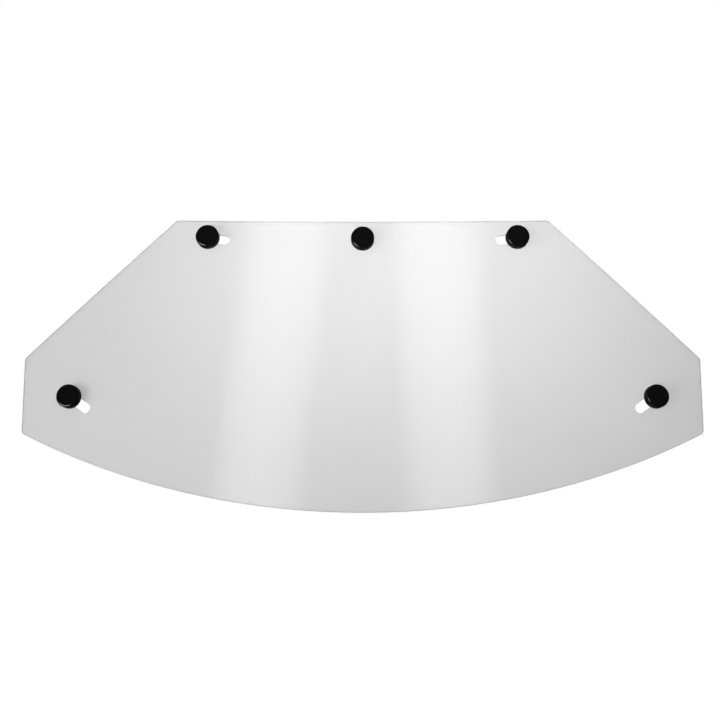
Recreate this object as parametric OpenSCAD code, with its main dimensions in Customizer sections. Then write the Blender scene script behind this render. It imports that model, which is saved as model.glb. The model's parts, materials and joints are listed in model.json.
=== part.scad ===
// Sneeze guard: a clear sheet bent round a vertical axis and held by five clamping knobs.
// The front of the sheet faces -Y. X runs across it and Z runs up it.
// The origin is on the axis of the top centre stud, halfway along the plain pilot at its rear end,
// where the bracket of a stand takes it.

/* [Sheet] */
// Thickness of the clear sheet
sheet_t = 3; // [2:0.5:5]
// Radius of the bend at the front face
bend_r = 2500; // [2000:50:6000]
// Height of the middle of the top edge above the centre hole
top_edge_z = 21; // [18:0.5:30]
// Radius of the shallow hollow along the top edge
top_arc_r = 4300; // [3000:100:9000]
// Distance of each top corner from the middle
top_corner_x = 202; // [190:1:215]
// Distance of each side corner from the middle
side_corner_x = 362.5; // [350:0.5:370]
// Height of each side corner
side_corner_z = -125; // [-130:1:-110]
// How far each side leans inwards on the way down, in degrees
side_taper = 1.8; // [0:0.1:4]
// Height of the lowest point of the bottom edge
bottom_z = -290.7; // [-300:0.1:-280]
// Radius of the bottom edge
bottom_arc_r = 805; // [780:1:850]
// Radius on the top and lower corners
corner_r = 6; // [3:0.5:10]
// Radius on the side corners
side_corner_r = 4; // [2:0.5:10]

/* [Stations] */
// Distance of each outer top knob from the middle
top_station_x = 166.6; // [160:0.1:172]
// Height of the outer top knobs
top_station_z = 3.8; // [0:0.1:6]
// Distance of each lower knob from the middle
lower_station_x = 308.4; // [300:0.1:315]
// Height of the lower knobs
lower_station_z = -168.6; // [-175:0.1:-160]

/* [Slots] */
// Width of the slots and the centre hole
slot_w = 10.4; // [9:0.1:11]
// Travel of a knob along a top slot
top_travel = 17.8; // [10:0.1:24]
// Downward slope of the top slots towards the middle, in degrees
top_slope = 6.5; // [0:0.5:15]
// Travel of a knob along a lower slot
lower_travel = 20.3; // [10:0.1:24]
// Downward slope of the lower slots towards the middle, in degrees
lower_slope = 35.5; // [20:0.5:50]

/* [Knobs] */
// Diameter of a knob
knob_d = 25; // [22:0.5:30]
// Height of a knob
knob_h = 9; // [8:0.5:14]
// Radius of the rim of a knob
knob_rim_r = 2.4; // [1:0.1:3]
// Depth of the recess moulded under a knob
knob_recess_h = 5; // [3:0.5:6]
// Diameter of the boss in the middle of the recess
knob_boss_d = 13; // [12:0.5:14]
// Wall of the knob outside the recess
knob_wall = 2; // [1.5:0.25:3]

/* [Studs and nuts] */
// Diameter of the stud, a little under its nominal 8 mm thread
stud_d = 7.9; // [7.8:0.02:7.96]
// Depth of the stud in the knob
stud_grip = 6.5; // [5:0.5:7]
// Length of thread that stands out behind the nut
thread_past = 2.5; // [1.5:0.25:6]
// Diameter of the plain pilot at the rear end of the stud
pilot_d = 6.4; // [5.5:0.1:6.6]
// Length of the pilot
pilot_l = 6; // [5:0.5:12]
// Chamfer on the end of the pilot
pilot_chamfer = 0.7; // [0.4:0.1:1]
// Bore of the nut
nut_bore = 8; // [8:0.02:8.1]
// Width of the nut across its flats
nut_flats = 13; // [12:0.5:14]
// Thickness of the nut
nut_h = 4; // [3.5:0.5:7]
// Chamfer on the corners of the nut, in degrees
nut_chamfer = 30; // [20:1:40]

/* [Washers] */
// Thickness of the soft washer under a knob
front_washer_t = 1; // [0.8:0.1:2]
// Outer diameter of the soft washer under a knob
front_washer_d = 21; // [18:0.5:22]
// Thickness of the soft washer behind the sheet
rear_washer_t = 1.5; // [1:0.1:3]
// Outer diameter of the soft washer behind the sheet
rear_washer_d = 18; // [16:0.5:22]
// Thickness of the steel washer
flat_washer_t = 1.6; // [1.2:0.1:2]
// Outer diameter of the steel washer
flat_washer_d = 17; // [16:0.5:20]
// Hole in all the washers
washer_bore = 8.4; // [8.2:0.1:9]

/* [Gaps] */
// Gap between the front face of the sheet and the soft washer, and under the knob
front_gap = 0.1; // [0.05:0.05:0.3]
// Gap between the rear face of the sheet and the soft washer
rear_gap = 0.3; // [0.2:0.05:0.5]

/* [Hidden] */
// Name, distance across, height, slot travel, and slot direction from +X as seen from the front
STATIONS = [
    ["top_left", -top_station_x, top_station_z, top_travel, -top_slope],
    ["top_center", 0, 0, 0, 0],
    ["top_right", top_station_x, top_station_z, top_travel, 180 + top_slope],
    ["lower_left", -lower_station_x, lower_station_z, lower_travel, -lower_slope],
    ["lower_right", lower_station_x, lower_station_z, lower_travel, 180 + lower_slope],
];
PIECES = ["knob", "stud", "front_washer", "rear_washer", "flat_washer", "nut"];
$fn = 96;
// Facets of the sheet's bend, which is metres across
bend_fn = 256;
// Straight steps in each rounded corner of the sheet
round_steps = 6;

// Heights of the stack at a station, measured outwards from the front face of the sheet
knob_base = front_gap + front_washer_t + front_gap;
rear_face = -sheet_t - rear_gap;
flat_washer_face = rear_face - rear_washer_t;
nut_face = flat_washer_face - flat_washer_t;
nut_back = nut_face - nut_h;
thread_end = nut_back - thread_past;
pilot_end = thread_end - pilot_l;
// Where the front face of the sheet meets the centre line, so that the stud's pilot holds the origin
front_y = thread_end - (pilot_l - pilot_chamfer) / 2;

// The outline of the sheet as seen from the front
top_arc_centre = [0, top_edge_z + top_arc_r];
bottom_arc_centre = [0, bottom_z + bottom_arc_r];
top_corner = [top_corner_x, top_arc_centre.y - sqrt(pow(top_arc_r, 2) - pow(top_corner_x, 2))];
side_corner = [side_corner_x, side_corner_z];
chamfer_out = unit([top_corner.y - side_corner.y, side_corner.x - top_corner.x]);
side_out = [cos(side_taper), -sin(side_taper)];
side_foot_z = bottom_z - 20;
side_foot = [side_corner_x - (side_corner_z - side_foot_z) * tan(side_taper), side_foot_z];
// How far the cutting shapes run past what they cut
past = 5;
sheet_depth = 60;

function unit(v) = v / norm(v);

// Centre of a corner's round: corner_r inside the line through p, whose outward normal is out,
// and reach away from the centre c of the arc that the line meets
function round_centre(p, out, c, reach) =
    let (q = p - corner_r * out, d = [-out.y, out.x], b = (q - c) * d)
    q - d * (b + sqrt(b * b - (q - c) * (q - c) + reach * reach));

// Points along an arc in n steps, without its first point, which ends the stretch before
function arc(centre, r, from, to, n) =
    [for (i = [1:n]) let (a = from + (to - from) * i / n) centre + r * [cos(a), sin(a)]];
function bearing(v) = atan2(v.y, v.x);

foot_round = round_centre(side_foot, side_out, bottom_arc_centre, bottom_arc_r - corner_r);
side_round = side_corner - side_corner_r * (chamfer_out + side_out) / (1 + chamfer_out * side_out);
top_round = round_centre(side_corner, chamfer_out, top_arc_centre, top_arc_r + corner_r);
foot_bearing = bearing(foot_round - bottom_arc_centre);
chamfer_bearing = bearing(chamfer_out);
top_bearing = bearing(top_arc_centre - top_round);
// From the lowest point up the right-hand side to the middle of the top edge
right_half = concat(
    [[0, bottom_z]],
    arc(bottom_arc_centre, bottom_arc_r, -90, foot_bearing, 36),
    arc(foot_round, corner_r, foot_bearing, -side_taper, round_steps),
    [side_round + side_corner_r * side_out],
    arc(side_round, side_corner_r, -side_taper, chamfer_bearing, round_steps),
    [top_round + corner_r * chamfer_out],
    arc(top_round, corner_r, chamfer_bearing, top_bearing, round_steps),
    arc(top_arc_centre, top_arc_r, top_bearing - 180, -90, 12)
);
left_half = [for (i = [len(right_half) - 2:-1:1]) [-right_half[i].x, right_half[i].y]];

module outline() polygon(concat(right_half, left_half));

// Stands a flat shape up on edge and gives it the depth of the bent sheet
module through_sheet()
    translate([0, front_y + sheet_depth, 0])
        rotate([90, 0, 0]) linear_extrude(sheet_depth + past) children();

// Puts its children on the front face of the sheet, with their +Z outwards and +Y up
module at_station(x, z) {
    turn = asin(x / bend_r);
    translate([x, front_y + bend_r * (1 - cos(turn)), z]) rotate([90, 0, turn]) children();
}

module bent_sheet() {
    height = top_corner.y - bottom_z + 2 * past;
    translate([0, front_y + bend_r, bottom_z - past]) difference() {
        cylinder(r = bend_r, h = height, $fn = bend_fn);
        translate([0, 0, -past]) cylinder(r = bend_r - sheet_t, h = height + 2 * past, $fn = bend_fn);
    }
}

module slot_cut(travel, direction)
    rotate([0, 0, direction]) translate([0, 0, -sheet_t - past]) {
        cylinder(d = slot_w, h = sheet_t + 2 * past);
        if (travel > 0) {
            translate([travel, 0, 0]) cylinder(d = slot_w, h = sheet_t + 2 * past);
            translate([0, -slot_w / 2, 0]) cube([travel, slot_w, sheet_t + 2 * past]);
        }
    }

module guard_panel()
    color([0.88, 0.9, 0.91, 0.5]) difference() {
        intersection() {
            bent_sheet();
            through_sheet() outline();
        }
        for (s = STATIONS) at_station(s[1], s[2]) slot_cut(s[3], s[4]);
    }

module knob()
    color([0.03, 0.03, 0.03]) translate([0, 0, knob_base]) rotate_extrude() difference() {
        union() {
            square([knob_d / 2, knob_h - knob_rim_r]);
            square([knob_d / 2 - knob_rim_r, knob_h]);
            translate([knob_d / 2 - knob_rim_r, knob_h - knob_rim_r]) circle(knob_rim_r);
        }
        translate([knob_boss_d / 2, -past])
            square([(knob_d - knob_boss_d) / 2 - knob_wall, knob_recess_h + past]);
        translate([0, -past]) square([stud_d / 2, stud_grip + past]);
    }

module stud()
    color([0.62, 0.63, 0.64]) {
        translate([0, 0, thread_end]) cylinder(d = stud_d, h = knob_base + stud_grip - thread_end);
        translate([0, 0, pilot_end + pilot_chamfer]) cylinder(d = pilot_d, h = pilot_l - pilot_chamfer);
        translate([0, 0, pilot_end])
            cylinder(d1 = pilot_d - 2 * pilot_chamfer, d2 = pilot_d, h = pilot_chamfer);
    }

module washer(outer_d, t, face_z)
    translate([0, 0, face_z - t]) difference() {
        cylinder(d = outer_d, h = t);
        translate([0, 0, -past]) cylinder(d = washer_bore, h = t + 2 * past);
    }

module front_washer()
    color([0.09, 0.09, 0.09]) washer(front_washer_d, front_washer_t, front_gap + front_washer_t);

module rear_washer()
    color([0.09, 0.09, 0.09]) washer(rear_washer_d, rear_washer_t, rear_face);

module flat_washer()
    color([0.7, 0.71, 0.72]) washer(flat_washer_d, flat_washer_t, flat_washer_face);

// A hexagon whose corners are turned away at both faces
module nut() {
    across_corners = nut_flats / cos(30);
    turned_r = nut_flats / 2 + nut_h / tan(nut_chamfer);
    color([0.66, 0.67, 0.68]) translate([0, 0, nut_back]) difference() {
        intersection() {
            cylinder(d = across_corners, h = nut_h, $fn = 6);
            cylinder(r1 = nut_flats / 2, r2 = turned_r, h = nut_h);
            cylinder(r1 = turned_r, r2 = nut_flats / 2, h = nut_h);
        }
        translate([0, 0, -past]) cylinder(d = nut_bore, h = nut_h + 2 * past);
    }
}

guard_panel();
for (s = STATIONS) {
    at_station(s[1], s[2]) knob();
    at_station(s[1], s[2]) stud();
    at_station(s[1], s[2]) front_washer();
    at_station(s[1], s[2]) rear_washer();
    at_station(s[1], s[2]) flat_washer();
    at_station(s[1], s[2]) nut();
}
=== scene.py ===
# %% [markdown]
# # A clear sneeze guard with five clamping knobs
# The real thing is one sheet of clear acrylic, gently bent, that hangs in front of a food counter. Five
# black knobs clamp it to a stand: four of them run in short slots, and the middle one sits in a plain hole.
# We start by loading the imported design. It fixes every size and place, so nothing below has to be measured
# by eye, and each new piece is built exactly where its plain stand-in already is.

# %% Load the frame
import json
import math
import bmesh
import bpy
from mathutils import Matrix, Quaternion, Vector

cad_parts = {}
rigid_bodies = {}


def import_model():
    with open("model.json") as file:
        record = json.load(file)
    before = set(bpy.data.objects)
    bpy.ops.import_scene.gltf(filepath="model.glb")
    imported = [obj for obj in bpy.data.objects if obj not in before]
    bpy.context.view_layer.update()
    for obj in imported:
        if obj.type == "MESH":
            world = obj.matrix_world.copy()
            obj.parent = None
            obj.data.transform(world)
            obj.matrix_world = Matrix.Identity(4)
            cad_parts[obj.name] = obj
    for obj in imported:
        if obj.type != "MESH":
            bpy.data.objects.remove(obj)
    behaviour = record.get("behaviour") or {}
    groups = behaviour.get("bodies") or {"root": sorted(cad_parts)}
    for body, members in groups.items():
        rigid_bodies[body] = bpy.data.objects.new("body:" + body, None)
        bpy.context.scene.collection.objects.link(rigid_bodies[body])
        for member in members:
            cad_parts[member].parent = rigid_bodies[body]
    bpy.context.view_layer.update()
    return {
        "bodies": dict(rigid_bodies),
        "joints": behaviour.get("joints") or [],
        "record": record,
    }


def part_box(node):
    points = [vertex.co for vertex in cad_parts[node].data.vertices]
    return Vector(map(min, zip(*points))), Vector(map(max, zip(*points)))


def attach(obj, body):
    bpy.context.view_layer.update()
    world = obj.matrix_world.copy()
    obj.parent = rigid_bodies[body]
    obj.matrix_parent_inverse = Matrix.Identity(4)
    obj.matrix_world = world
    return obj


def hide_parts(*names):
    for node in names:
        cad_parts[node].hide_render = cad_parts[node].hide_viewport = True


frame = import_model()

# %% [markdown]
# ## Where things are
# Each knob clamps on one straight axis that goes square through the sheet. The record lists that axis as a
# mount at the stud's bare tail, and it lists each slot as a sliding joint. We turn both into a local frame
# per knob: its origin on the front of the sheet, Z pointing out at the customer and Y pointing up.

# %% Stations
MM = 0.001
PLACES = ["top_left", "top_center", "top_right", "lower_left", "lower_right"]
sheet_lo, sheet_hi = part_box("guard_panel")
tail_to_sheet = -sheet_lo.y  # along a stud, from the middle of its bare tail to the front of the sheet
mounts = {m["name"].replace("_stud_tail", ""): m for m in frame["record"]["mounts"]}
slides = {j["name"].replace("_slot_slide", ""): j for j in frame["joints"] if "_slot_slide" in j["name"]}


def station(place):
    """The local frame of one knob, as a matrix."""
    out = -Vector(mounts[place]["axis"])
    up = Vector((0, 0, 1))
    matrix = Matrix((up.cross(out), up, out)).transposed().to_4x4()
    matrix.translation = Vector(mounts[place]["pos_m"]) + out * tail_to_sheet
    return matrix


def extent(piece):
    """Where a piece starts and ends along its knob's axis, and its radius, read from the middle knob."""
    lo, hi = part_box("top_center_" + piece)
    return sheet_lo.y - hi.y, sheet_lo.y - lo.y, (hi.x - lo.x) / 2


for place in PLACES:
    x, y, z = station(place).translation / MM
    print(f"{place}: x {x:.1f}, y {y:.1f}, z {z:.1f} mm")

# %% [markdown]
# ## Shared effects as node groups
# Three effects turn up in more than one finish: fine grain, light scuffs, and the rings that a lathe or a
# punch leaves. Each is a node group with named inputs and outputs, so every material uses the same recipe
# with its own numbers. A group only puts out values. The shaders stay in the materials, where other
# programs can read them.

# %% Node group helper
def new_group(name, inputs, outputs):
    """An empty shader node group: inputs maps each name to its default, outputs lists names."""
    group = bpy.data.node_groups.new(name, "ShaderNodeTree")
    for label, value in inputs.items():
        socket = group.interface.new_socket(label, in_out="INPUT", socket_type="NodeSocketFloat")
        socket.default_value = value
    for label in outputs:
        group.interface.new_socket(label, in_out="OUTPUT", socket_type="NodeSocketFloat")
    return group, group.nodes.new("NodeGroupInput"), group.nodes.new("NodeGroupOutput")


def add(tree, kind, **values):
    """A new node with its settings, and its numbered or named inputs given as in_NAME=value."""
    node = tree.nodes.new(kind)
    for key, value in values.items():
        if key.startswith("in_"):
            node.inputs[key[3:].replace("_", " ")].default_value = value
        else:
            setattr(node, key, value)
    return node


# %% Fine grain
def fine_grain():
    """Pebbly height for moulded plastic and rubber. Size is in grains per metre."""
    group, given, made = new_group("fine_grain", {"Size": 900.0, "Depth": 1.0}, ["Height"])
    place_in = add(group, "ShaderNodeTexCoord")
    pebbles = add(group, "ShaderNodeTexNoise", in_Detail=3.0, in_Roughness=0.6)
    deep = add(group, "ShaderNodeMath", operation="MULTIPLY")
    group.links.new(place_in.outputs["Object"], pebbles.inputs["Vector"])
    group.links.new(given.outputs["Size"], pebbles.inputs["Scale"])
    group.links.new(pebbles.outputs["Fac"], deep.inputs[0])
    group.links.new(given.outputs["Depth"], deep.inputs[1])
    group.links.new(deep.outputs[0], made.inputs["Height"])
    return group


# %% Light scuffs
def light_scuffs():
    """A mask of short thin rubs, in patches. Size is how many fit in a metre, Amount how much is rubbed."""
    group, given, made = new_group("light_scuffs", {"Size": 260.0, "Amount": 0.5}, ["Mask"])
    place_in = add(group, "ShaderNodeTexCoord")
    stretch = add(group, "ShaderNodeMapping", in_Scale=(1.0, 1.0, 0.12), in_Rotation=(0.2, 0.6, 0.3))
    rubs = add(group, "ShaderNodeTexNoise", in_Detail=2.0, in_Distortion=0.4)
    patches = add(group, "ShaderNodeTexNoise", in_Scale=24.0, in_Detail=2.0)
    thin = add(group, "ShaderNodeMapRange", in_From_Min=0.58, in_From_Max=0.72)
    wide = add(group, "ShaderNodeMapRange", in_From_Min=0.42, in_From_Max=0.68)
    both = add(group, "ShaderNodeMath", operation="MULTIPLY")
    part = add(group, "ShaderNodeMath", operation="MULTIPLY")
    group.links.new(place_in.outputs["Object"], stretch.inputs["Vector"])
    group.links.new(stretch.outputs["Vector"], rubs.inputs["Vector"])
    group.links.new(given.outputs["Size"], rubs.inputs["Scale"])
    group.links.new(place_in.outputs["Object"], patches.inputs["Vector"])
    group.links.new(rubs.outputs["Fac"], thin.inputs["Value"])
    group.links.new(patches.outputs["Fac"], wide.inputs["Value"])
    group.links.new(thin.outputs["Result"], both.inputs[0])
    group.links.new(wide.outputs["Result"], both.inputs[1])
    group.links.new(both.outputs[0], part.inputs[0])
    group.links.new(given.outputs["Amount"], part.inputs[1])
    group.links.new(part.outputs[0], made.inputs["Mask"])
    return group


# %% Turning rings
def turning_rings():
    """Height of the fine rings round a turned or punched piece, from each point's distance to the axis."""
    group, given, made = new_group("turning_rings", {"Rings": 5000.0, "Depth": 1.0}, ["Height"])
    radius = add(group, "ShaderNodeAttribute", attribute_name="from_axis")
    rings = add(group, "ShaderNodeTexNoise", noise_dimensions="1D", in_Detail=2.0)
    deep = add(group, "ShaderNodeMath", operation="MULTIPLY")
    group.links.new(radius.outputs["Fac"], rings.inputs["W"])
    group.links.new(given.outputs["Rings"], rings.inputs["Scale"])
    group.links.new(rings.outputs["Fac"], deep.inputs[0])
    group.links.new(given.outputs["Depth"], deep.inputs[1])
    group.links.new(deep.outputs[0], made.inputs["Height"])
    return group


GROUPS = {"grain": fine_grain(), "scuffs": light_scuffs(), "rings": turning_rings()}
print("groups:", sorted(g.name for g in GROUPS.values()))


def use_group(tree, key, **values):
    """Places one shared group in a material, with its own values."""
    node = tree.nodes.new("ShaderNodeGroup")
    node.node_tree = GROUPS[key]
    for label, value in values.items():
        node.inputs[label].default_value = value
    return node


def between(tree, mask, low, high):
    """A value that goes from low to high as a mask goes from 0 to 1."""
    node = add(tree, "ShaderNodeMapRange", in_To_Min=low, in_To_Max=high)
    tree.links.new(mask, node.inputs["Value"])
    return node.outputs["Result"]


def colour_between(tree, mask, low, high):
    """A colour that goes from low to high as a mask goes from 0 to 1."""
    node = add(tree, "ShaderNodeValToRGB")
    node.color_ramp.elements[0].color = (*low, 1.0)
    node.color_ramp.elements[1].color = (*high, 1.0)
    tree.links.new(mask, node.inputs["Fac"])
    return node.outputs["Color"]


def bump(tree, height, strength, distance):
    """A Bump node that turns a height into a normal for the material's own shader."""
    node = add(tree, "ShaderNodeBump", in_Strength=strength, in_Distance=distance)
    tree.links.new(height, node.inputs["Height"])
    return node.outputs["Normal"]


def start_material(name):
    """A material with its own Principled shader. Returns the material, its node tree and the shader."""
    material = bpy.data.materials.new(name)
    material.use_nodes = True
    tree = material.node_tree
    return material, tree, tree.nodes["Principled BSDF"]


# %% [markdown]
# ## Clear acrylic
# Clear acrylic lets most light straight through, mirrors a little, and after some cleaning it has a faint
# haze. A pure glass shader would leave the haze out, and then nothing on the sheet could catch a shadow. So
# about two thirds of the light goes through, and the rest scatters on the surface. Lamps are let through by
# swapping the shader for a see-through one on shadow rays only, because light bent through a flat sheet
# takes very long to gather and looks the same.

# %% Acrylic
ACRYLIC_IOR = 1.49
SHEET_SHADE = 0.70        # the grey of the tint
SHADE_CHANGE = 0.01       # how far wiping has changed it either way
SHEET_CLEAR = 0.68        # the part of the light that goes through


def acrylic_sheet():
    """The two faces of the sheet: clear, a little hazy, with faint wipe marks."""
    material, tree, shader = start_material("clear_acrylic")
    shader.inputs["IOR"].default_value = ACRYLIC_IOR
    shader.inputs["Transmission Weight"].default_value = SHEET_CLEAR
    place_in = add(tree, "ShaderNodeTexCoord")
    wipes = add(tree, "ShaderNodeTexNoise", in_Scale=7.0, in_Detail=4.0, in_Distortion=1.2)
    tree.links.new(place_in.outputs["Object"], wipes.inputs["Vector"])
    scuffs = use_group(tree, "scuffs", Size=180.0, Amount=0.5)
    worn = add(tree, "ShaderNodeMath", operation="ADD")
    tree.links.new(wipes.outputs["Fac"], worn.inputs[0])
    tree.links.new(scuffs.outputs["Mask"], worn.inputs[1])
    tree.links.new(between(tree, worn.outputs[0], 0.06, 0.1), shader.inputs["Roughness"])
    dull = (SHEET_SHADE - SHADE_CHANGE,) * 3
    fresh = (SHEET_SHADE + SHADE_CHANGE,) * 3
    tree.links.new(colour_between(tree, wipes.outputs["Fac"], dull, fresh), shader.inputs["Base Color"])
    ripple = add(tree, "ShaderNodeTexNoise", in_Scale=9.0, in_Detail=0.0)
    tree.links.new(place_in.outputs["Object"], ripple.inputs["Vector"])
    tree.links.new(bump(tree, ripple.outputs["Fac"], 0.1, 0.0004), shader.inputs["Normal"])
    let_lamps_through(tree, shader, 0.86)
    return material


def let_lamps_through(tree, shader, share):
    """Swaps the shader for a see-through one where a ray only asks whether a lamp is in sight."""
    rays = add(tree, "ShaderNodeLightPath")
    clear = add(tree, "ShaderNodeBsdfTransparent", in_Color=(share, share, share, 1.0))
    swap = add(tree, "ShaderNodeMixShader")
    tree.links.new(rays.outputs["Is Shadow Ray"], swap.inputs[0])
    tree.links.new(shader.outputs["BSDF"], swap.inputs[1])
    tree.links.new(clear.outputs["BSDF"], swap.inputs[2])
    tree.links.new(swap.outputs[0], tree.nodes["Material Output"].inputs["Surface"])


# %% [markdown]
# The sawn rim of an acrylic sheet is flame polished but keeps the saw's fine marks, and it looks darker
# than the faces because light inside the sheet is led past it. That darkness is painted shade here: the rim's
# colour is set dark. The slots are milled, not sawn, and light comes at their walls from the open slot too,
# so they look as pale as what is behind them; that paleness is painted light in the walls' colour. Both are
# cut acrylic with tool marks, so one recipe makes both, and each is used on its own faces only.

# %% Cut edges
def cut_acrylic(name, clear, marks_per_metre, dark, pale, bump_strength, bump_distance, share):
    """A cut face of the sheet. Its dark-to-pale tone is painted shade on the rim and painted light in the
    slots, with tool marks in tone, gloss and height.
    """
    material, tree, shader = start_material(name)
    shader.inputs["IOR"].default_value = ACRYLIC_IOR
    shader.inputs["Transmission Weight"].default_value = clear
    place_in = add(tree, "ShaderNodeTexCoord")
    marks = add(tree, "ShaderNodeTexNoise", in_Scale=marks_per_metre, in_Detail=2.0)
    tree.links.new(place_in.outputs["Object"], marks.inputs["Vector"])
    tree.links.new(between(tree, marks.outputs["Fac"], 0.1, 0.15), shader.inputs["Roughness"])
    tree.links.new(colour_between(tree, marks.outputs["Fac"], dark, pale), shader.inputs["Base Color"])
    tree.links.new(bump(tree, marks.outputs["Fac"], bump_strength, bump_distance), shader.inputs["Normal"])
    let_lamps_through(tree, shader, share)
    return material


def acrylic_edge():
    """The rim: darker by painted shade in its colour, with coarse saw marks."""
    return cut_acrylic(
        "sawn_acrylic_edge", clear=0.5, marks_per_metre=420.0,
        # dark grey rim tone: painted shade standing in for the light led past the edge
        dark=(0.3, 0.31, 0.31), pale=(0.42, 0.43, 0.43),
        bump_strength=0.3, bump_distance=0.0001, share=0.6,
    )


def milled_wall():
    """The walls of the slots and the hole: pale by painted light in their colour, with fine cutter marks."""
    return cut_acrylic(
        "milled_slot_wall", clear=0.6, marks_per_metre=900.0,
        # near-white wall tone: painted light standing in for the light from the open slot
        dark=(0.86, 0.87, 0.87), pale=(0.95, 0.95, 0.95),
        bump_strength=0.2, bump_distance=0.00005, share=0.9,
    )


# %% [markdown]
# ## Black moulded plastic
# The knobs are moulded in black nylon. The face is nearly smooth, so lamps show in it as soft, narrow
# glints on the rounded rim, and handling leaves faint rubs that are duller than the rest. Colour alone
# would look like a black hole, so the gloss carries the look: a very fine grain bends it and the rubs
# spread it.

# %% Knob plastic
NYLON_IOR = 1.5


def black_nylon():
    """Glossy black knob plastic with fine grain and handling rubs."""
    material, tree, shader = start_material("black_nylon")
    shader.inputs["IOR"].default_value = NYLON_IOR
    scuffs = use_group(tree, "scuffs", Size=900.0, Amount=0.8)
    grain = use_group(tree, "grain", Size=2600.0, Depth=1.0)
    tree.links.new(between(tree, scuffs.outputs["Mask"], 0.07, 0.14), shader.inputs["Roughness"])
    tone = colour_between(tree, scuffs.outputs["Mask"], (0.0016,) * 3, (0.004, 0.004, 0.0042))
    tree.links.new(tone, shader.inputs["Base Color"])
    tree.links.new(bump(tree, grain.outputs["Height"], 0.12, 0.00005), shader.inputs["Normal"])
    return material


# %% [markdown]
# The wall of the knob is the grip. Its half of the mould was sand blasted, so it comes out matt and dark,
# and fingers don't slip on it. Matt plastic scatters what it mirrors, so its gloss is set low as well as
# rough.

# %% Knob grip
def matt_grip():
    """The blasted wall of the knob: the same black nylon without its gloss."""
    material, tree, shader = start_material("matt_black_grip")
    shader.inputs["IOR"].default_value = NYLON_IOR
    shader.inputs["Specular IOR Level"].default_value = 0.06
    scuffs = use_group(tree, "scuffs", Size=900.0, Amount=1.0)
    grain = use_group(tree, "grain", Size=4200.0, Depth=1.0)
    tree.links.new(between(tree, scuffs.outputs["Mask"], 0.66, 0.48), shader.inputs["Roughness"])
    tone = colour_between(tree, grain.outputs["Height"], (0.002,) * 3, (0.007, 0.007, 0.0074))
    tree.links.new(tone, shader.inputs["Base Color"])
    tree.links.new(bump(tree, grain.outputs["Height"], 0.6, 0.00008), shader.inputs["Normal"])
    return material


# %% [markdown]
# ## Rubber cushions
# A soft washer on each side keeps the clamp from marking the sheet. Rubber is dull and its skin is pebbly,
# so it is nearly black with a rough surface, and paler where it has bloomed.

# %% Rubber
def soft_rubber():
    """Dull black rubber with a pebbly skin and a pale bloom."""
    material, tree, shader = start_material("soft_rubber")
    shader.inputs["IOR"].default_value = 1.52
    grain = use_group(tree, "grain", Size=1500.0, Depth=1.0)
    scuffs = use_group(tree, "scuffs", Size=500.0, Amount=1.0)
    tree.links.new(between(tree, grain.outputs["Height"], 0.62, 0.85), shader.inputs["Roughness"])
    tone = colour_between(tree, scuffs.outputs["Mask"], (0.012, 0.012, 0.013), (0.04, 0.04, 0.042))
    tree.links.new(tone, shader.inputs["Base Color"])
    tree.links.new(bump(tree, grain.outputs["Height"], 0.5, 0.0001), shader.inputs["Normal"])
    return material


# %% [markdown]
# ## Zinc-plated steel
# Studs, nuts and flat washers are bright zinc plate. Plating follows the lathe marks below it, so fine
# rings catch the light, and it dulls in small patches. Metal has no colour under its shine, so the patches
# go into the roughness and only a little into the tone.

# %% Steel
def plated_steel():
    """Bright zinc plate over turned steel."""
    material, tree, shader = start_material("zinc_plated_steel")
    shader.inputs["Metallic"].default_value = 1.0
    rings = use_group(tree, "rings", Rings=5200.0, Depth=1.0)
    scuffs = use_group(tree, "scuffs", Size=700.0, Amount=1.0)
    place_in = add(tree, "ShaderNodeTexCoord")
    cloud = add(tree, "ShaderNodeTexNoise", in_Scale=340.0, in_Detail=3.0)
    tree.links.new(place_in.outputs["Object"], cloud.inputs["Vector"])
    dulled = add(tree, "ShaderNodeMath", operation="MAXIMUM")
    tree.links.new(cloud.outputs["Fac"], dulled.inputs[0])
    tree.links.new(scuffs.outputs["Mask"], dulled.inputs[1])
    tree.links.new(between(tree, dulled.outputs[0], 0.2, 0.46), shader.inputs["Roughness"])
    tone = colour_between(tree, cloud.outputs["Fac"], (0.56, 0.57, 0.6), (0.74, 0.75, 0.77))
    tree.links.new(tone, shader.inputs["Base Color"])
    tree.links.new(bump(tree, rings.outputs["Height"], 0.25, 0.00006), shader.inputs["Normal"])
    return material


FINISH = {
    "clear_sheet": acrylic_sheet(),
    "sheet_edge": acrylic_edge(),
    "slot_wall": milled_wall(),
    "knob_plastic": black_nylon(),
    "knob_grip": matt_grip(),
    "soft_washer": soft_rubber(),
    "bright_steel": plated_steel(),
}
print("finishes:", ", ".join(m.name for m in FINISH.values()))

# %% [markdown]
# ## The sheet: outline first
# The sheet is cut from a flat blank and bent afterwards, and we make it in the same order. The flat outline
# is one face with six corners. Its top and bottom edges are shallow arcs, so they are divided and each new
# point is set on its arc, and the corners are rounded with a vertex bevel. The blank lies in the XZ plane.

# %% Sheet dimensions
SHEET_THICK = 3.0 * MM
BEND_RADIUS = 2500 * MM       # of the front face, about an upright axis behind the sheet
TOP_CORNER_X = 202 * MM
TOP_DIP = 4.75 * MM           # how far the middle of the top edge lies below its corners
SIDE_TOP_Z = -125 * MM
SIDE_TAPER = math.radians(1.8)
BOTTOM_RADIUS = 805 * MM
TOP_ROUND = 6 * MM
SIDE_ROUND = 4 * MM
LOWER_ROUND = 6 * MM
SLOT_RADIUS = 5.2 * MM
TOP_CUTS = 40
BOTTOM_CUTS = 96
NEAR_ENOUGH = 0.1 * MM
bottom_centre_z = sheet_lo.z + BOTTOM_RADIUS


def bottom_z(x):
    """Height of the bottom edge at x."""
    return bottom_centre_z - math.sqrt(BOTTOM_RADIUS ** 2 - x ** 2)


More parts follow.
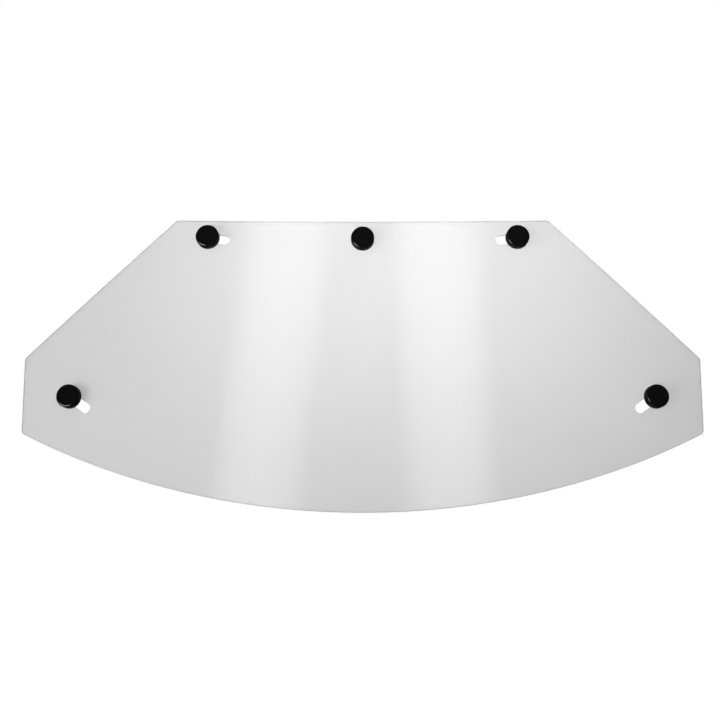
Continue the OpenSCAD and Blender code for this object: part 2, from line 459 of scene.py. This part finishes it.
def lower_corner():
    """Where the tapered side meets the bottom arc, found by halving."""
    top, low = SIDE_TOP_Z, sheet_lo.z
    for _ in range(40):
        z = (top + low) / 2
        x = sheet_hi.x - (SIDE_TOP_Z - z) * math.tan(SIDE_TAPER)
        if z > bottom_z(x):
            top = z
        else:
            low = z
    return x, z


LOWER_CORNER = lower_corner()
TOP_CORNER = (TOP_CORNER_X, sheet_hi.z)
SIDE_CORNER = (sheet_hi.x, SIDE_TOP_Z)
print("lower corner in mm:", [round(v / MM, 1) for v in LOWER_CORNER])

# %% [markdown]
# Rounding a corner of radius r uses up r times the tangent of half the turn on each side, so the bevel's
# offset is worked out from the turn at each corner.

# %% Flat outline
def round_corner(bm, corner, radius, segments=6):
    """Rounds one outline corner, given by its place, to a radius."""
    target = Vector((corner[0], 0, corner[1]))
    vert = min(bm.verts, key=lambda v: (v.co - target).length)
    one, two = [(e.other_vert(vert).co - vert.co).normalized() for e in vert.link_edges]
    offset = radius / math.tan(one.angle(two) / 2)
    bmesh.ops.bevel(
        bm, geom=[vert], affect="VERTICES", offset=offset, segments=segments, profile=0.5, material=-1,
    )


def flat_outline():
    """The blank's outline as one face in the XZ plane."""
    bm = bmesh.new()
    right = [TOP_CORNER, SIDE_CORNER, LOWER_CORNER]
    ring = [(x, z) for x, z in right] + [(-x, z) for x, z in reversed(right)]
    verts = [bm.verts.new((x, 0, z)) for x, z in ring]
    bm.faces.new(verts)
    for height, cuts in ((TOP_CORNER[1], TOP_CUTS), (LOWER_CORNER[1], BOTTOM_CUTS)):
        level = [e for e in bm.edges if all(abs(v.co.z - height) < 1e-6 for v in e.verts)]
        bmesh.ops.subdivide_edges(bm, edges=level, cuts=cuts)
    top_radius = (TOP_CORNER_X ** 2 + TOP_DIP ** 2) / (2 * TOP_DIP)
    for v in bm.verts:
        if v.co.z < LOWER_CORNER[1] + NEAR_ENOUGH:
            v.co.z = bottom_z(v.co.x)
        elif v.co.z > sheet_hi.z - NEAR_ENOUGH:
            v.co.z = sheet_hi.z - TOP_DIP + top_radius - math.sqrt(top_radius ** 2 - v.co.x ** 2)
    rounds = ((TOP_CORNER, TOP_ROUND), (SIDE_CORNER, SIDE_ROUND), (LOWER_CORNER, LOWER_ROUND))
    for side in (1, -1):
        for corner, radius in rounds:
            round_corner(bm, (side * corner[0], corner[1]), radius)
    return bm


# %% [markdown]
# ## Holes and slots
# A slot is a hole that was dragged sideways. So each opening starts as a circle on its station, and the
# half that faces the slide's direction moves along by the slide's travel. The sheet is then filled between
# the outline and the openings in one go, which is quicker and cleaner than cutting a finished solid.

# %% Openings
OPENING_SEGMENTS = 32


def slot_path(place):
    """Where an opening starts on the flat sheet, which way it runs and how far. A plain hole runs nowhere."""
    centre = station(place).translation
    start, way, travel = Vector((centre.x, 0, centre.z)), Vector((1, 0, 0)), 0
    if place in slides:
        axis = slides[place]["axis"]
        way = Vector((axis[0], 0, axis[2]))
        travel = max(slides[place]["range_m"])
    return start, way, travel


def add_opening(bm, place):
    """Adds the ring of edges of one hole or slot to the blank."""
    start, way, travel = slot_path(place)
    ring = bmesh.ops.create_circle(
        bm, radius=SLOT_RADIUS, segments=OPENING_SEGMENTS,
        matrix=Matrix.Translation(start) @ Matrix.Rotation(math.radians(90), 4, "X"),
    )["verts"]
    if travel:
        half_step = Matrix.Rotation(math.pi / OPENING_SEGMENTS - math.atan2(way.z, way.x), 3, "Y")
        for v in ring:
            v.co = start + half_step @ (v.co - start)
            if (v.co - start).dot(way) > 0:
                v.co += way * travel
    return {e for v in ring for e in v.link_edges}


def blank_with_openings():
    """The flat blank filled between its outline and its openings."""
    bm = flat_outline()
    bmesh.ops.delete(bm, geom=list(bm.faces), context="FACES_ONLY")
    edges = set(bm.edges)
    for place in PLACES:
        edges |= add_opening(bm, place)
    bmesh.ops.triangle_fill(bm, use_beauty=True, use_dissolve=False, edges=list(edges), normal=(0, -1, 0))
    print("blank:", len(bm.faces), "faces,", len(bm.edges), "edges")
    return bm


# %% [markdown]
# ## Thickness, edge and bend
# The filled blank is divided into upright strips, because only points can bend. It gets its thickness, the
# sharp rim is eased with a small round, and last every point is laid on the bent surface. Points of the
# back face go along the local normal, so that the rim and the slot walls stay square to the sheet.

# %% Bent sheet
STRIPS = 90
EDGE_ROUND = 0.35 * MM
WALL_REACH = 1 * MM           # how far past an opening's edge a face still belongs to its wall


def lay_on_bend(point):
    """A point of the flat blank, with its depth behind the front face as y, on the bent sheet."""
    turn = math.asin(point.x / BEND_RADIUS)
    near = BEND_RADIUS - point.y
    return Vector((near * math.sin(turn), sheet_lo.y + BEND_RADIUS - near * math.cos(turn), point.z))


def by_opening(point):
    """Whether a point of the flat sheet lies on the wall of a slot or of the hole."""
    for place in PLACES:
        start, way, travel = slot_path(place)
        flat = Vector((point.x, 0, point.z)) - start
        along = min(max(flat.dot(way), 0), travel)
        if (flat - way * along).length < SLOT_RADIUS + WALL_REACH:
            return True
    return False


def bent_sheet():
    """The whole sheet as a bmesh, with the rim on the second material and the slot walls on the third."""
    bm = blank_with_openings()
    for i in range(1, STRIPS):
        x = sheet_lo.x + (sheet_hi.x - sheet_lo.x) * i / STRIPS
        everything = list(bm.verts) + list(bm.edges) + list(bm.faces)
        bmesh.ops.bisect_plane(bm, geom=everything, plane_co=(x, 0, 0), plane_no=(1, 0, 0), dist=1e-7)
    grown = bmesh.ops.extrude_face_region(bm, geom=list(bm.faces), use_keep_orig=True)["geom"]
    back = [v for v in grown if isinstance(v, bmesh.types.BMVert)]
    bmesh.ops.translate(bm, verts=back, vec=(0, SHEET_THICK, 0))
    bmesh.ops.recalc_face_normals(bm, faces=list(bm.faces))
    rim = [e for e in bm.edges if len(e.link_faces) == 2 and e.calc_face_angle() > math.radians(60)
           and max(abs(f.normal.y) for f in e.link_faces) > 0.9]
    bmesh.ops.bevel(bm, geom=rim, affect="EDGES", offset=EDGE_ROUND, segments=2, profile=0.5, material=-1)
    for face in bm.faces:
        face.smooth = True
        on_wall = 2 if by_opening(face.calc_center_median()) else 1
        face.material_index = 0 if abs(face.normal.y) > 0.99 else on_wall
    for v in bm.verts:
        v.co = lay_on_bend(v.co)
    return bm


# %% [markdown]
# Long thin faces shade badly with averaged normals: the rim's slant would leak over the whole height of the
# sheet. The bent surface has an exact normal everywhere, so the faces are given that one, and the rim keeps
# its own.

# %% Exact normals
def exact_normals(mesh):
    """Gives the bent faces their true normals and leaves the rim flat."""
    normals = []
    for polygon in mesh.polygons:
        for index in polygon.vertices:
            if polygon.material_index == 0:
                point = mesh.vertices[index].co
                turn = math.atan2(point.x, sheet_lo.y + BEND_RADIUS - point.y)
                out = Vector((math.sin(turn), -math.cos(turn), 0))
                normals.append(out if polygon.normal.dot(out) > 0 else -out)
            else:
                normals.append(polygon.normal.copy())
    mesh.normals_split_custom_set(normals)


def open_edges(bm):
    """How many edges don't have two faces, which is none on a closed shape."""
    return sum(1 for e in bm.edges if len(e.link_faces) != 2)


sheet_bm = bent_sheet()
print("sheet:", len(sheet_bm.faces), "faces,", open_edges(sheet_bm), "open edges")
sheet_mesh = bpy.data.meshes.new("clear_guard_sheet")
sheet_bm.to_mesh(sheet_mesh)
sheet_bm.free()
exact_normals(sheet_mesh)
for finish in ("clear_sheet", "sheet_edge", "slot_wall"):
    sheet_mesh.materials.append(FINISH[finish])
sheet = bpy.data.objects.new("clear_guard_sheet", sheet_mesh)
bpy.context.scene.collection.objects.link(sheet)
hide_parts("guard_panel")
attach(sheet, "panel")

# %% [markdown]
# ## Turned pieces
# Knobs and washers are round about their stud, so each is half a section spun once round the axis. The
# section has sharp corners, and chosen rings of edges are bevelled afterwards, as a maker would break an
# edge. Every piece also keeps each point's distance from the axis, which the turning rings read.

# %% Lathe
def spin_section(section, steps=72):
    """Spins a closed section of (radius, height) points round Z and closes it on the axis."""
    bm = bmesh.new()
    verts = [bm.verts.new((r, 0, z)) for r, z in section]
    pairs = list(zip(verts, verts[1:]))
    if section[0][0] > 0:
        pairs.append((verts[-1], verts[0]))
    edges = [bm.edges.new(pair) for pair in pairs]
    bmesh.ops.spin(
        bm, geom=verts + edges, cent=(0, 0, 0), axis=(0, 0, 1), dvec=(0, 0, 0),
        angle=math.tau, steps=steps, use_merge=True, use_duplicate=False,
    )
    bmesh.ops.remove_doubles(bm, verts=list(bm.verts), dist=1e-7)
    bmesh.ops.recalc_face_normals(bm, faces=list(bm.faces))
    return bm


def ease_rings(bm, radius, height, offset, segments=3):
    """Rounds the ring of edges at one radius and height."""
    def on_ring(v):
        return abs(v.co.xy.length - radius) < 1e-6 and abs(v.co.z - height) < 1e-6
    ring = [e for e in bm.edges if all(on_ring(v) for v in e.verts)]
    bmesh.ops.bevel(bm, geom=ring, affect="EDGES", offset=offset, segments=segments, profile=0.5, material=-1)


def as_mesh(bm, name, sharp_degrees=35):
    """A finished bmesh as a smooth mesh that remembers each point's distance from the axis."""
    mesh = bpy.data.meshes.new(name)
    bm.to_mesh(mesh)
    distance = mesh.attributes.new("from_axis", "FLOAT", "POINT")
    for v in mesh.vertices:
        distance.data[v.index].value = v.co.xy.length
    mesh.shade_smooth()
    mesh.set_sharp_from_angle(angle=math.radians(sharp_degrees))
    print(f"{name}: {len(bm.faces)} faces, {open_edges(bm)} open edges")
    bm.free()
    return mesh


# %% [markdown]
# ## Knob
# Seen from the front the knob is a plain flat disc with a well rounded rim. Behind, it is hollow to save
# plastic and to cool evenly in its mould: a boss holds the stud, a thin wall makes the grip, and six ribs
# tie them together. A fine line round the wall is where the two halves of the mould met.

# %% Knob
KNOB_ROUND = 2.4 * MM
KNOB_WALL = 2.0 * MM
KNOB_HOLLOW = 5.0 * MM
BOSS_RADIUS = 6.5 * MM
MOULD_LINE = 0.12 * MM        # how deep and half how wide the line is
MOULD_LINE_UP = 1.6 * MM      # from the back of the knob
GRIP_EDGE = 0.35 * MM
INNER_EDGE = 0.3 * MM
RIBS = 6
RIB_THICK = 1.0 * MM
RIB_SET_BACK = 0.6 * MM       # ribs stop short of the knob's back, and reach into boss and wall by half this
RIB_LIFT = 0.5 * MM
stud_lo, stud_hi, STUD_RADIUS = extent("stud")


def knob_mesh():
    """The knob, hollow behind, with ribs and a mould line."""
    low, high, radius = extent("knob")
    line = low + MOULD_LINE_UP
    inside = radius - KNOB_WALL
    section = [
        (0, high), (radius, high),
        (radius, line + MOULD_LINE), (radius - MOULD_LINE, line), (radius, line - MOULD_LINE),
        (radius, low), (inside, low), (inside, low + KNOB_HOLLOW),
        (BOSS_RADIUS, low + KNOB_HOLLOW), (BOSS_RADIUS, low),
        (STUD_RADIUS, low), (STUD_RADIUS, stud_hi), (0, stud_hi),
    ]
    bm = spin_section(section, steps=96)
    ease_rings(bm, radius, high, KNOB_ROUND, segments=10)
    ease_rings(bm, radius, low, GRIP_EDGE)
    ease_rings(bm, inside, low, INNER_EDGE)
    ease_rings(bm, BOSS_RADIUS, low, INNER_EDGE)
    reach = (inside + BOSS_RADIUS) / 2
    size = Matrix.Diagonal((inside - BOSS_RADIUS + RIB_SET_BACK, RIB_THICK, KNOB_HOLLOW - RIB_SET_BACK, 1))
    for i in range(RIBS):
        turn = Matrix.Rotation(math.tau * i / RIBS, 4, "Z")
        shift = Matrix.Translation((reach, 0, low + KNOB_HOLLOW / 2 + RIB_LIFT))
        bmesh.ops.create_cube(bm, size=1.0, matrix=turn @ shift @ size)
    for face in bm.faces:
        outside = face.calc_center_median().xy.length > radius - KNOB_ROUND / 4
        face.material_index = 1 if outside and abs(face.normal.z) < 0.8 else 0
    return as_mesh(bm, "knob")


# %% [markdown]
# ## Washers
# The steel washer is punched, so one face has a rolled edge and the other a sharper one. The two rubber
# cushions are round all over.

# %% Washers
WASHER_HOLE = 4.2 * MM
CUSHION_EDGE = 0.3 * MM
SHARP_EDGE = 0.12 * MM
ROLLED_EDGE = 0.35 * MM


def washer_mesh(piece, soft):
    """A washer between the heights and radius of its stand-in."""
    low, high, radius = extent(piece)
    section = [(WASHER_HOLE, low), (radius, low), (radius, high), (WASHER_HOLE, high)]
    bm = spin_section(section, steps=64)
    top, bottom = (CUSHION_EDGE, CUSHION_EDGE) if soft else (SHARP_EDGE, ROLLED_EDGE)
    for ring_radius in (radius, WASHER_HOLE):
        ease_rings(bm, ring_radius, high, top)
        ease_rings(bm, ring_radius, low, bottom)
    return as_mesh(bm, piece)


# %% [markdown]
# ## Threaded stud
# A thread is one small tooth that climbs a pitch with every turn. Spin can climb as it turns, so one
# tooth's section, spun many times with a small rise per step, makes the whole thread. Both ends are cut
# square, capped, and drawn in to a lead-in chamfer. A plain turned pilot stands on the rear end and locates
# the guard in its stand.

# %% Stud
PITCH = 1.25 * MM
THREAD_DEPTH = 0.6 * PITCH
THREAD_STEPS = 30
STUD_CHAMFER = 0.8 * MM
PILOT_CHAMFER = 0.7 * MM
PILOT_RADIUS = mounts["top_center"]["dims"]["r_mm"] * MM
PILOT_LENGTH = mounts["top_center"]["dims"]["length_mm"] * MM + PILOT_CHAMFER
PILOT_OVERLAP = 0.3 * MM      # how far the pilot reaches into the threaded part
thread_lo = stud_lo + PILOT_LENGTH


def stud_mesh():
    """The stud with a real helical thread."""
    bm = bmesh.new()
    root = STUD_RADIUS - THREAD_DEPTH
    tooth = [(root, 0), (root, 0.16), (STUD_RADIUS, 0.5), (STUD_RADIUS, 0.62), (root, 1.0)]
    start = thread_lo - 1.5 * PITCH
    verts = [bm.verts.new((r, 0, start + PITCH * rise)) for r, rise in tooth]
    edges = [bm.edges.new(pair) for pair in zip(verts, verts[1:])]
    turns = math.ceil((stud_hi - thread_lo) / PITCH) + 3
    bmesh.ops.spin(
        bm, geom=verts + edges, cent=(0, 0, 0), axis=(0, 0, 1), dvec=(0, 0, PITCH / THREAD_STEPS),
        angle=math.tau * turns, steps=THREAD_STEPS * turns, use_merge=False, use_duplicate=False,
    )
    bmesh.ops.remove_doubles(bm, verts=list(bm.verts), dist=1e-6)
    for height, way in ((thread_lo, -1), (stud_hi, 1)):
        everything = list(bm.verts) + list(bm.edges) + list(bm.faces)
        bmesh.ops.bisect_plane(
            bm, geom=everything, plane_co=(0, 0, height), plane_no=(0, 0, way), clear_outer=True, dist=1e-8,
        )
        bmesh.ops.remove_doubles(bm, verts=list(bm.verts), dist=2e-6)
        rim = [e for e in bm.edges if e.is_boundary and all(abs(v.co.z - height) < 2e-6 for v in e.verts)]
        bmesh.ops.edgeloop_fill(bm, edges=rim)
        inner = height - way * STUD_CHAMFER
        everything = list(bm.verts) + list(bm.edges) + list(bm.faces)
        bmesh.ops.bisect_plane(bm, geom=everything, plane_co=(0, 0, inner), plane_no=(0, 0, way), dist=1e-8)
    for v in bm.verts:
        from_end = min(v.co.z - thread_lo, stud_hi - v.co.z)
        widest = STUD_RADIUS - max(0, STUD_CHAMFER - from_end)
        if v.co.xy.length > widest:
            v.co.xy *= widest / v.co.xy.length
    bmesh.ops.recalc_face_normals(bm, faces=list(bm.faces))
    seat = thread_lo + PILOT_OVERLAP
    pilot = spin_section([
        (0, stud_lo), (PILOT_RADIUS - PILOT_CHAMFER, stud_lo), (PILOT_RADIUS, stud_lo + PILOT_CHAMFER),
        (PILOT_RADIUS, seat), (0, seat),
    ], steps=48)
    pilot_mesh = bpy.data.meshes.new("pilot")
    pilot.to_mesh(pilot_mesh)
    pilot.free()
    bm.from_mesh(pilot_mesh)
    bpy.data.meshes.remove(pilot_mesh)
    return as_mesh(bm, "stud")


# %% [markdown]
# ## Hexagon nut
# A nut is a hexagon bar turned in a lathe: the turning cuts a shallow cone over each face, which leaves the
# curved lines on the six flats. Here a ring of points runs round the bore, steps out to the turned circle,
# then to the hexagon, whose corners sit lower because they are further out on the cone.

# %% Nut
NUT_BORE = 4.0 * MM
NUT_LEAD = 0.5 * MM
NUT_SEGMENTS = 96
NUT_HALF_FLATS = 6.5 * MM
TURNED_RADIUS = 0.96 * NUT_HALF_FLATS
CONE_SLOPE = math.tan(math.radians(30))
nut_lo, nut_hi, _ = extent("nut")


def hexagon_radius(angle):
    """Distance from the axis to the hexagon's side in one direction, with a flat facing up."""
    from_flat = angle % math.radians(60) - math.radians(30)
    return NUT_HALF_FLATS / math.cos(from_flat)


def nut_mesh():
    """The nut, from rings that are extruded one after another and closed into a tube."""
    lead = NUT_BORE + NUT_LEAD
    rings = [
        (NUT_BORE, nut_lo + NUT_LEAD), (lead, nut_lo), (TURNED_RADIUS, nut_lo), (None, nut_lo),
        (None, nut_hi), (TURNED_RADIUS, nut_hi), (lead, nut_hi), (NUT_BORE, nut_hi - NUT_LEAD),
    ]
    bm = bmesh.new()
    ring = bmesh.ops.create_circle(bm, radius=1.0, segments=NUT_SEGMENTS)["verts"]
    first = edges = list(bm.edges)
    for i, (radius, height) in enumerate(rings):
        if i:
            grown = bmesh.ops.extrude_edge_only(bm, edges=edges)["geom"]
            ring = [g for g in grown if isinstance(g, bmesh.types.BMVert)]
            grown_edges = [g for g in grown if isinstance(g, bmesh.types.BMEdge)]
            edges = [e for e in grown_edges if all(v in ring for v in e.verts)]
        for v in ring:
            angle = math.atan2(v.co.y, v.co.x)
            reach = radius or hexagon_radius(angle)
            drop = 0 if radius else (reach - TURNED_RADIUS) * CONE_SLOPE
            level = height + drop if height == nut_lo else height - drop
            v.co = Vector((reach * math.cos(angle), reach * math.sin(angle), level))
    bmesh.ops.bridge_loops(bm, edges=list(first) + list(edges))
    bmesh.ops.recalc_face_normals(bm, faces=list(bm.faces))
    return as_mesh(bm, "nut", sharp_degrees=25)


# %% [markdown]
# ## Five sets of hardware
# The five clamps are the same six pieces, so each piece is modelled once and its mesh is copied to every
# station. The place goes into the mesh, not into the object, and each copy stands in for its own plain
# piece and rides with that piece's body.

# %% Place the hardware
BODY = {
    "knob": "screw", "stud": "screw", "front_washer": "clamp",
    "rear_washer": "carriage", "flat_washer": "carriage", "nut": "carriage",
}
SLOT = {
    "knob": "knob_plastic", "stud": "bright_steel", "front_washer": "soft_washer",
    "rear_washer": "soft_washer", "flat_washer": "bright_steel", "nut": "bright_steel",
}
LABEL = {
    "knob": "clamping_knob", "stud": "threaded_stud", "front_washer": "front_cushion",
    "rear_washer": "rear_cushion", "flat_washer": "steel_washer", "nut": "hex_nut",
}
patterns = {
    "knob": knob_mesh(),
    "stud": stud_mesh(),
    "front_washer": washer_mesh("front_washer", soft=True),
    "rear_washer": washer_mesh("rear_washer", soft=True),
    "flat_washer": washer_mesh("flat_washer", soft=False),
    "nut": nut_mesh(),
}


def place_piece(place, piece):
    """Copies one pattern to one station and hooks it to the frame."""
    mesh = patterns[piece].copy()
    mesh.name = f"{place}_{LABEL[piece]}"
    mesh.transform(station(place))
    mesh.materials.append(FINISH[SLOT[piece]])
    if piece == "knob":
        mesh.materials.append(FINISH["knob_grip"])
    obj = bpy.data.objects.new(mesh.name, mesh)
    bpy.context.scene.collection.objects.link(obj)
    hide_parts(f"{place}_{piece}")
    body = f"{place}_{BODY[piece]}"
    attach(obj, body if body in frame["bodies"] else "panel")
    return obj


hardware = [place_piece(place, piece) for place in PLACES for piece in patterns]
print(len(hardware), "pieces of hardware")

# %% [markdown]
# ## Floor and surroundings
# The guard is shown against plain white. The floor is pale and lies well below. It glows, so that it is as
# white as the world where the two meet. The world is white where the camera or a ray through the
# sheet looks at it, and nearly black to every other ray. A black knob in a white room mirrors white and
# turns grey, so here the room is dark for mirrors and the lamps do all the lighting.

# %% Floor
FLOOR_Z = -1.5
FLOOR_HALF_SIZE = 60
FLOOR_GLOW = 1.0


def pale_floor():
    """A wide pale floor with a faint mottle."""
    material, tree, shader = start_material("pale_floor")
    place_in = add(tree, "ShaderNodeTexCoord")
    mottle = add(tree, "ShaderNodeTexNoise", in_Scale=3.0, in_Detail=3.0)
    tree.links.new(place_in.outputs["Object"], mottle.inputs["Vector"])
    tone = colour_between(tree, mottle.outputs["Fac"], (0.9, 0.9, 0.9), (0.93, 0.93, 0.93))
    tree.links.new(tone, shader.inputs["Base Color"])
    shader.inputs["Roughness"].default_value = 0.8
    shader.inputs["Emission Color"].default_value = (1, 1, 1, 1)
    shader.inputs["Emission Strength"].default_value = FLOOR_GLOW
    bm = bmesh.new()
    bmesh.ops.create_grid(bm, x_segments=1, y_segments=1, size=FLOOR_HALF_SIZE)
    bmesh.ops.translate(bm, verts=list(bm.verts), vec=(0, 0, FLOOR_Z))
    mesh = bpy.data.meshes.new("floor")
    bm.to_mesh(mesh)
    bm.free()
    mesh.materials.append(material)
    floor = bpy.data.objects.new("floor", mesh)
    bpy.context.scene.collection.objects.link(floor)
    floor.visible_glossy = False
    floor.visible_diffuse = False


pale_floor()

# %% World
WHITE_SEEN = 1.0
WHITE_LIGHTING = 0.08


def white_world():
    """White to look at, dim as a light and in mirrors."""
    world = bpy.data.worlds.new("studio")
    bpy.context.scene.world = world
    world.use_nodes = True
    tree = world.node_tree
    dim = tree.nodes["Background"]
    dim.inputs["Strength"].default_value = WHITE_LIGHTING
    dim.inputs["Color"].default_value = (1, 1, 1, 1)
    white = add(tree, "ShaderNodeBackground", in_Color=(1, 1, 1, 1), in_Strength=WHITE_SEEN)
    rays = add(tree, "ShaderNodeLightPath")
    looked_at = add(tree, "ShaderNodeMath", operation="MAXIMUM")
    tree.links.new(rays.outputs["Is Camera Ray"], looked_at.inputs[0])
    tree.links.new(rays.outputs["Is Transmission Ray"], looked_at.inputs[1])
    swap = add(tree, "ShaderNodeMixShader")
    tree.links.new(looked_at.outputs[0], swap.inputs[0])
    tree.links.new(dim.outputs[0], swap.inputs[1])
    tree.links.new(white.outputs[0], swap.inputs[2])
    tree.links.new(swap.outputs[0], tree.nodes["World Output"].inputs["Surface"])


white_world()

# %% [markdown]
# ## Lamps
# Two tall soft strips stand side by side behind the camera, and the bent sheet mirrors them as two upright
# bands. The big soft key lamp low on the left throws each knob's soft shadow up to the right, and the glint
# lamp beside it is mirrored in the rims of the knobs. A wash lamp close in front lights the sheet most near
# its top middle. Two lamps behind the sheet are there for the steel. No lamp can be seen itself.
#
# Clear sheet mirrors whatever stands at the right angle, so a big lamp would turn all of it white from some
# sides. Light linking prevents that: the strips reach only the sheet, and the glint reaches everything
# else. The key and the wash light things but are not mirrored.

# %% Lamp helper
def soft_lamp(name, place, aim_at, size, brightness, lean=0):
    """A rectangular lamp that faces a point. Brightness is what a white card as bright would show."""
    data = bpy.data.lights.new(name, "AREA")
    data.shape = "RECTANGLE"
    data.size, data.size_y = size
    data.energy = brightness * math.pi * size[0] * size[1]
    lamp = bpy.data.objects.new(name, data)
    bpy.context.scene.collection.objects.link(lamp)
    lamp.location = place
    lamp.rotation_mode = "QUATERNION"
    facing = (Vector(aim_at) - Vector(place)).to_track_quat("-Z", "Y")
    lamp.rotation_quaternion = facing @ Quaternion((0, 0, 1), math.radians(lean))
    lamp.visible_camera = False
    lamp.visible_transmission = False
    return lamp


def mirrored_only(lamp, receivers):
    """Makes a lamp show only as a reflection, and only in the meshes of one collection."""
    lamp.visible_diffuse = False
    lamp.light_linking.receiver_collection = receivers


def never_mirrored(lamp):
    """Keeps a lamp out of reflections, without the light it would then lose to mixed sampling."""
    lamp.visible_glossy = False
    lamp.data.cycles.use_multiple_importance_sampling = False


# %% Who is lit by what
sheet_only = bpy.data.collections.new("sheet_only")
sheet_only.objects.link(sheet)
all_but_sheet = bpy.data.collections.new("all_but_sheet")
for thing in list(bpy.data.objects):
    if thing.type == "MESH" and thing != sheet:
        all_but_sheet.objects.link(thing)

# %% [markdown]
# A strip that ends sharply is mirrored as a hard bar. Each strip is three nested ones, so it fades to its
# sides. They stand one behind the other, because a ray stops at the first lamp it meets, and in one plane
# the widest strip would hide the others.

# %% Strips
STRIP_LAYERS = ((0.14, 0.5), (0.24, 0.6), (0.34, 1.75))  # width and brightness, front to back
STRIP_HEIGHT = 1.2
STRIP_Y = -1.5
STRIP_Z = 0.2
STRIP_STEP = 0.02


def soft_strip(name, x, lean):
    """A tall lamp that fades towards its sides, seen only as a reflection in the sheet."""
    for i, (width, brightness) in enumerate(STRIP_LAYERS):
        place, aim_at = (x, STRIP_Y - STRIP_STEP * i, STRIP_Z), (x, 0, STRIP_Z)
        strip = soft_lamp(f"{name}_{i}", place, aim_at, (width, STRIP_HEIGHT), brightness, lean)
        mirrored_only(strip, sheet_only)


soft_strip("left_strip", -0.355, -8)
soft_strip("right_strip", 0.325, 2.5)

# %% Key, glint, wash and back lamps
WASH_AHEAD = 0.2
middle = Vector((0, 0, (sheet_lo.z + sheet_hi.z) / 2))
key = soft_lamp("low_left_key", (-1.8, -1.35, -0.85), middle, (1.6, 1.5), 5.5)
never_mirrored(key)
glint = soft_lamp("rim_glint", (-1.55, -1.3, -0.98), middle, (1.7, 1.15), 6.0)
mirrored_only(glint, all_but_sheet)
wash_place = Vector((0.062, sheet_lo.y - WASH_AHEAD, 0.165))
wash = soft_lamp("front_wash", wash_place, (wash_place.x, 0, wash_place.z), (0.5, 0.68), 1.47)
never_mirrored(wash)
wash.data.use_shadow = False
soft_lamp("back_left", (-1.3, 1.5, 1.0), middle, (0.8, 1.2), 3.0)
soft_lamp("back_right", (1.5, 1.4, 0.6), middle, (0.8, 1.2), 2.0)
print("lamps:", len(bpy.data.lights))

# %% [markdown]
# ## Camera
# The camera stands about a metre away, straight in front of the sheet and about 13 degrees below its
# middle, and looks up at it. That shows a little of the underside of each knob. A 50 mm lens takes in the
# whole width of the sheet from there.

# %% Camera
LEAN = math.radians(13.2)
DISTANCE = 1.046
SIDESTEP = -2.8 * MM
aim = Vector((SIDESTEP, sheet_lo.y, (sheet_lo.z + sheet_hi.z) / 2))
camera_data = bpy.data.cameras.new("camera")
camera_data.lens = 50
camera_data.sensor_width = 36
camera = bpy.data.objects.new("camera", camera_data)
bpy.context.scene.collection.objects.link(camera)
camera.location = aim + DISTANCE * Vector((0, -math.cos(LEAN), -math.sin(LEAN)))
camera.rotation_euler = (math.radians(90) + LEAN, 0, 0)
bpy.context.scene.camera = camera
bpy.context.scene.view_settings.view_transform = "Standard"
print("camera at:", [round(v, 3) for v in camera.location])
